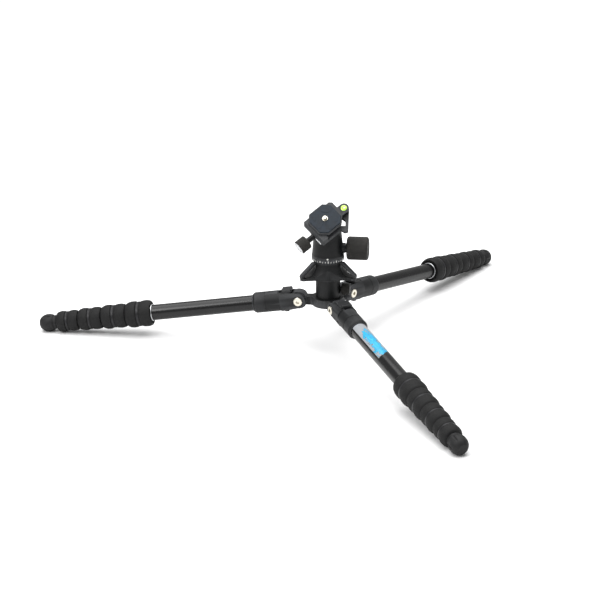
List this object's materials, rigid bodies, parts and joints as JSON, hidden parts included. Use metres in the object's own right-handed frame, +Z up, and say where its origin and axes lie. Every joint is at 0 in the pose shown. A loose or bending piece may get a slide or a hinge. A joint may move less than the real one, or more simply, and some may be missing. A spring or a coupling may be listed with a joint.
{
  "type": "travel tripod with ball head",
  "caption": "Low-standing travel tripod with telescoping twist-lock legs, a short sliding column, a ball head and a quick-release plate with a camera screw.",
  "frame": {"origin": "centre of the mouth of the 3/8 inch threaded socket in the underside of the centre column, on the column axis; the ground is 62 mm below it", "axes": "+Z up along the column axis; the -Y side faces the viewer; the legs point out at 172, 292 and 52 degrees from +X, anticlockwise seen from above"},
  "size_m": [0.7837, 0.836, 0.241],
  "materials": {
    "casting": "satin black powder coat",
    "black_tube": "gloss black anodised",
    "rubber": "fine dotted rubber",
    "grip": "ribbed rubber",
    "bright_steel": "nickel-plated",
    "ring_metal": "satin grey with light marks",
    "ball_metal": "satin anodised",
    "dark_metal": "satin black anodised",
    "nylon": "matt",
    "vial": "green level fluid",
    "pad": "matt blue-grey rubber"
  },
  "bodies": {
    "crown": {"crown": "casting", "pivot_bolts": "bright_steel"},
    "column_bush": {"column_bush": "nylon"},
    "column_knob": {"column_knob": "grip"},
    "column": {"column_tube": "black_tube", "canopy": "casting", "head_stud": "bright_steel", "pan_base": "ring_metal"},
    "head": {"head_housing": "casting", "ball_cup": "nylon"},
    "main_knob": {"main_knob": "grip", "main_shaft": "dark_metal"},
    "pan_knob": {"pan_knob": "grip"},
    "ball": {"ball_stem": "ball_metal", "clamp_screw": "bright_steel"},
    "clamp": {"clamp_base": "casting", "guide_rods": "bright_steel", "level_vial": "vial"},
    "clamp_jaw": {"clamp_jaw": "casting"},
    "clamp_knob": {"clamp_knob": "grip", "knob_screw": "dark_metal"},
    "plate": {"plate": "casting", "plate_pad": "pad"},
    "camera_screw": {"camera_screw": "bright_steel"},
    "leg1": {"leg1_yoke": "casting", "leg1_tube_1": "black_tube"},
    "leg1_angle_lock": {"leg1_angle_lock": "casting"},
    "leg1_twist_lock_1": {"leg1_twist_lock_1": "rubber"},
    "leg1_twist_lock_2": {"leg1_twist_lock_2": "rubber"},
    "leg1_twist_lock_3": {"leg1_twist_lock_3": "rubber"},
    "leg1_twist_lock_4": {"leg1_twist_lock_4": "rubber"},
    "leg1_section_2": {"leg1_tube_2": "black_tube"},
    "leg1_section_3": {"leg1_tube_3": "black_tube"},
    "leg1_section_4": {"leg1_tube_4": "black_tube"},
    "leg1_section_5": {"leg1_tube_5": "black_tube", "leg1_foot": "rubber"},
    "leg2": {"leg2_yoke": "casting", "leg2_tube_1": "black_tube"},
    "leg2_angle_lock": {"leg2_angle_lock": "casting"},
    "leg2_twist_lock_1": {"leg2_twist_lock_1": "rubber"},
    "leg2_twist_lock_2": {"leg2_twist_lock_2": "rubber"},
    "leg2_twist_lock_3": {"leg2_twist_lock_3": "rubber"},
    "leg2_twist_lock_4": {"leg2_twist_lock_4": "rubber"},
    "leg2_section_2": {"leg2_tube_2": "black_tube"},
    "leg2_section_3": {"leg2_tube_3": "black_tube"},
    "leg2_section_4": {"leg2_tube_4": "black_tube"},
    "leg2_section_5": {"leg2_tube_5": "black_tube", "leg2_foot": "rubber"},
    "leg3": {"leg3_yoke": "casting", "leg3_tube_1": "black_tube"},
    "leg3_angle_lock": {"leg3_angle_lock": "casting"},
    "leg3_twist_lock_1": {"leg3_twist_lock_1": "rubber"},
    "leg3_twist_lock_2": {"leg3_twist_lock_2": "rubber"},
    "leg3_twist_lock_3": {"leg3_twist_lock_3": "rubber"},
    "leg3_twist_lock_4": {"leg3_twist_lock_4": "rubber"},
    "leg3_section_2": {"leg3_tube_2": "black_tube"},
    "leg3_section_3": {"leg3_tube_3": "black_tube"},
    "leg3_section_4": {"leg3_tube_4": "black_tube"},
    "leg3_section_5": {"leg3_tube_5": "black_tube", "leg3_foot": "rubber"}
  },
  "joints": [
    {"name": "column_turn", "type": "hinge", "parent": "crown", "child": "column_bush", "pos_m": [0, 0, 0.03], "axis": [0, 0, 1], "range_deg": [-200, 160]},
    {"name": "column_slide", "type": "slide", "parent": "column_bush", "child": "column", "axis": [0, 0, 1], "range_m": [0, 0.028]},
    {"name": "column_lock", "type": "hinge", "parent": "crown", "child": "column_knob", "pos_m": [0, 0, 0.031], "axis": [0.9903, -0.1392, 0], "range_deg": [0, 270]},
    {"name": "pan", "type": "hinge", "parent": "column", "child": "head", "pos_m": [0, 0, 0.09], "axis": [0, 0, 1], "continuous": true},
    {"name": "ball_lock", "type": "hinge", "parent": "head", "child": "main_knob", "pos_m": [0, 0, 0.101], "axis": [0.9903, -0.1392, 0], "range_deg": [0, 300]},
    {"name": "pan_lock", "type": "hinge", "parent": "head", "child": "pan_knob", "pos_m": [0, 0, 0.0912], "axis": [-0.3746, 0.9272, 0], "range_deg": [0, 270]},
    {"name": "tilt", "type": "hinge", "parent": "head", "child": "ball", "pos_m": [0, 0, 0.127], "axis": [0.9903, -0.1392, 0], "range_deg": [-85, 45]},
    {"name": "ball_turn", "type": "hinge", "parent": "ball", "child": "clamp", "pos_m": [0, 0, 0.127], "axis": [-0.0984, -0.7002, 0.7071], "continuous": true},
    {"name": "jaw_slide", "type": "slide", "parent": "clamp", "child": "clamp_jaw", "axis": [-0.7698, -0.3967, -0.5], "range_m": [0, 0.0075]},
    {"name": "clamp_screw_turn", "type": "hinge", "parent": "clamp_jaw", "child": "clamp_knob", "pos_m": [-0.04003, -0.046, 0.12113], "axis": [-0.7698, -0.3967, -0.5], "range_deg": [0, 1800]},
    {"name": "plate_slide", "type": "slide", "parent": "clamp", "child": "plate", "axis": [0.6306, -0.5935, -0.5], "range_m": [-0.012, 0.012]},
    {"name": "camera_screw_turn", "type": "hinge", "parent": "plate", "child": "camera_screw", "pos_m": [-0.00443, -0.03151, 0.15882], "axis": [-0.0984, -0.7002, 0.7071], "continuous": true},
    {"name": "leg1_fold", "type": "hinge", "parent": "crown", "child": "leg1", "pos_m": [-0.04724, 0.00664, 0.0115], "axis": [-0.1392, -0.9903, 0], "range_deg": [-84, 82]},
    {"name": "leg1_angle_tab", "type": "slide", "parent": "leg1", "child": "leg1_angle_lock", "axis": [-0.9806, 0.1378, -0.1392], "range_m": [0, 0.006], "stiffness_N_per_m": 600, "springref_m": -0.004},
    {"name": "leg1_lock_turn_1", "type": "hinge", "parent": "leg1", "child": "leg1_twist_lock_1", "pos_m": [-0.34142, 0.04798, -0.03025], "axis": [-0.9806, 0.1378, -0.1392], "range_deg": [0, 120]},
    {"name": "leg1_extend_1", "type": "slide", "parent": "leg1", "child": "leg1_section_2", "axis": [-0.9806, 0.1378, -0.1392], "range_m": [0, 0.183]},
    {"name": "leg1_lock_turn_2", "type": "hinge", "parent": "leg1_section_2", "child": "leg1_twist_lock_2", "pos_m": [-0.34142, 0.04798, -0.03025], "axis": [-0.9806, 0.1378, -0.1392], "range_deg": [0, 120]},
    {"name": "leg1_extend_2", "type": "slide", "parent": "leg1_section_2", "child": "leg1_section_3", "axis": [-0.9806, 0.1378, -0.1392], "range_m": [0, 0.221]},
    {"name": "leg1_lock_turn_3", "type": "hinge", "parent": "leg1_section_3", "child": "leg1_twist_lock_3", "pos_m": [-0.34142, 0.04798, -0.03025], "axis": [-0.9806, 0.1378, -0.1392], "range_deg": [0, 120]},
    {"name": "leg1_extend_3", "type": "slide", "parent": "leg1_section_3", "child": "leg1_section_4", "axis": [-0.9806, 0.1378, -0.1392], "range_m": [0, 0.257]},
    {"name": "leg1_lock_turn_4", "type": "hinge", "parent": "leg1_section_4", "child": "leg1_twist_lock_4", "pos_m": [-0.34142, 0.04798, -0.03025], "axis": [-0.9806, 0.1378, -0.1392], "range_deg": [0, 120]},
    {"name": "leg1_extend_4", "type": "slide", "parent": "leg1_section_4", "child": "leg1_section_5", "axis": [-0.9806, 0.1378, -0.1392], "range_m": [0, 0.291]},
    {"name": "leg2_fold", "type": "hinge", "parent": "crown", "child": "leg2", "pos_m": [0.01787, -0.04423, 0.0115], "axis": [0.9272, 0.3746, 0], "range_deg": [-84, 82]},
    {"name": "leg2_angle_tab", "type": "slide", "parent": "leg2", "child": "leg2_angle_lock", "axis": [0.371, -0.9182, -0.1392], "range_m": [0, 0.006], "stiffness_N_per_m": 600, "springref_m": -0.004},
    {"name": "leg2_lock_turn_1", "type": "hinge", "parent": "leg2", "child": "leg2_twist_lock_1", "pos_m": [0.12916, -0.31967, -0.03025], "axis": [0.371, -0.9182, -0.1392], "range_deg": [0, 120]},
    {"name": "leg2_extend_1", "type": "slide", "parent": "leg2", "child": "leg2_section_2", "axis": [0.371, -0.9182, -0.1392], "range_m": [0, 0.183]},
    {"name": "leg2_lock_turn_2", "type": "hinge", "parent": "leg2_section_2", "child": "leg2_twist_lock_2", "pos_m": [0.12916, -0.31967, -0.03025], "axis": [0.371, -0.9182, -0.1392], "range_deg": [0, 120]},
    {"name": "leg2_extend_2", "type": "slide", "parent": "leg2_section_2", "child": "leg2_section_3", "axis": [0.371, -0.9182, -0.1392], "range_m": [0, 0.221]},
    {"name": "leg2_lock_turn_3", "type": "hinge", "parent": "leg2_section_3", "child": "leg2_twist_lock_3", "pos_m": [0.12916, -0.31967, -0.03025], "axis": [0.371, -0.9182, -0.1392], "range_deg": [0, 120]},
    {"name": "leg2_extend_3", "type": "slide", "parent": "leg2_section_3", "child": "leg2_section_4", "axis": [0.371, -0.9182, -0.1392], "range_m": [0, 0.257]},
    {"name": "leg2_lock_turn_4", "type": "hinge", "parent": "leg2_section_4", "child": "leg2_twist_lock_4", "pos_m": [0.12916, -0.31967, -0.03025], "axis": [0.371, -0.9182, -0.1392], "range_deg": [0, 120]},
    {"name": "leg2_extend_4", "type": "slide", "parent": "leg2_section_4", "child": "leg2_section_5", "axis": [0.371, -0.9182, -0.1392], "range_m": [0, 0.291]},
    {"name": "leg3_fold", "type": "hinge", "parent": "crown", "child": "leg3", "pos_m": [0.02937, 0.03759, 0.0115], "axis": [-0.788, 0.6157, 0], "range_deg": [-84, 82]},
    {"name": "leg3_angle_tab", "type": "slide", "parent": "leg3", "child": "leg3_angle_lock", "axis": [0.6097, 0.7803, -0.1392], "range_m": [0, 0.006], "stiffness_N_per_m": 600, "springref_m": -0.004},
    {"name": "leg3_lock_turn_1", "type": "hinge", "parent": "leg3", "child": "leg3_twist_lock_1", "pos_m": [0.21227, 0.27169, -0.03025], "axis": [0.6097, 0.7803, -0.1392], "range_deg": [0, 120]},
    {"name": "leg3_extend_1", "type": "slide", "parent": "leg3", "child": "leg3_section_2", "axis": [0.6097, 0.7803, -0.1392], "range_m": [0, 0.183]},
    {"name": "leg3_lock_turn_2", "type": "hinge", "parent": "leg3_section_2", "child": "leg3_twist_lock_2", "pos_m": [0.21227, 0.27169, -0.03025], "axis": [0.6097, 0.7803, -0.1392], "range_deg": [0, 120]},
    {"name": "leg3_extend_2", "type": "slide", "parent": "leg3_section_2", "child": "leg3_section_3", "axis": [0.6097, 0.7803, -0.1392], "range_m": [0, 0.221]},
    {"name": "leg3_lock_turn_3", "type": "hinge", "parent": "leg3_section_3", "child": "leg3_twist_lock_3", "pos_m": [0.21227, 0.27169, -0.03025], "axis": [0.6097, 0.7803, -0.1392], "range_deg": [0, 120]},
    {"name": "leg3_extend_3", "type": "slide", "parent": "leg3_section_3", "child": "leg3_section_4", "axis": [0.6097, 0.7803, -0.1392], "range_m": [0, 0.257]},
    {"name": "leg3_lock_turn_4", "type": "hinge", "parent": "leg3_section_4", "child": "leg3_twist_lock_4", "pos_m": [0.21227, 0.27169, -0.03025], "axis": [0.6097, 0.7803, -0.1392], "range_deg": [0, 120]},
    {"name": "leg3_extend_4", "type": "slide", "parent": "leg3_section_4", "child": "leg3_section_5", "axis": [0.6097, 0.7803, -0.1392], "range_m": [0, 0.291]}
  ],
  "couplings": [
    {"joint": "jaw_slide", "follows": "clamp_screw_turn", "m_per_rad": 0.00023873}
  ]
}
